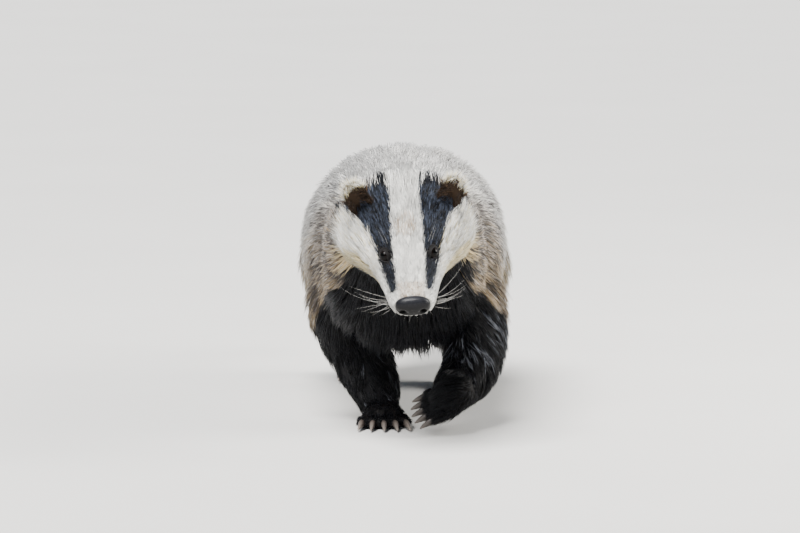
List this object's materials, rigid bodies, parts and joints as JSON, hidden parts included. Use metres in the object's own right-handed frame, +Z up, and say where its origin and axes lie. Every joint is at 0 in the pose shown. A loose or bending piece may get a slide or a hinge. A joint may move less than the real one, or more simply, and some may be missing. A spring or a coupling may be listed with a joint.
{
  "type": "european badger",
  "caption": "Life-size still figure of a walking european badger with striped face, shaggy grey coat and one forepaw lifted.",
  "frame": {"origin": "middle of the bounding box at floor level, under the trunk", "axes": "+Z up, the animal faces -Y, its left side is +X"},
  "size_m": [0.2374, 0.898, 0.272],
  "materials": {
    "coat_white": "short white fur with two black stripes",
    "coat_grey": "long grizzled grey guard hair",
    "coat_black": "short black fur",
    "nose_skin": "moist dark pebbled skin",
    "eye": "wet dark eye",
    "claw_horn": "smooth horn"
  },
  "bodies": {
    "root": {"claw_fore_L_1": "claw_horn", "claw_fore_L_2": "claw_horn", "claw_fore_L_3": "claw_horn", "claw_fore_L_4": "claw_horn", "claw_fore_L_5": "claw_horn", "claw_fore_R_1": "claw_horn", "claw_fore_R_2": "claw_horn", "claw_fore_R_3": "claw_horn", "claw_fore_R_4": "claw_horn", "claw_fore_R_5": "claw_horn", "claw_hind_L_1": "claw_horn", "claw_hind_L_2": "claw_horn", "claw_hind_L_3": "claw_horn", "claw_hind_L_4": "claw_horn", "claw_hind_L_5": "claw_horn", "claw_hind_R_1": "claw_horn", "claw_hind_R_2": "claw_horn", "claw_hind_R_3": "claw_horn", "claw_hind_R_4": "claw_horn", "claw_hind_R_5": "claw_horn", "ear_L": "coat_black", "ear_R": "coat_black", "eye_L": "eye", "eye_R": "eye", "foreleg_L": "coat_black", "foreleg_R": "coat_black", "head": "coat_white", "hindleg_L": "coat_black", "hindleg_R": "coat_black", "neck": "coat_grey", "nose": "nose_skin", "tail": "coat_grey", "torso": "coat_grey"}
  },
  "joints": []
}
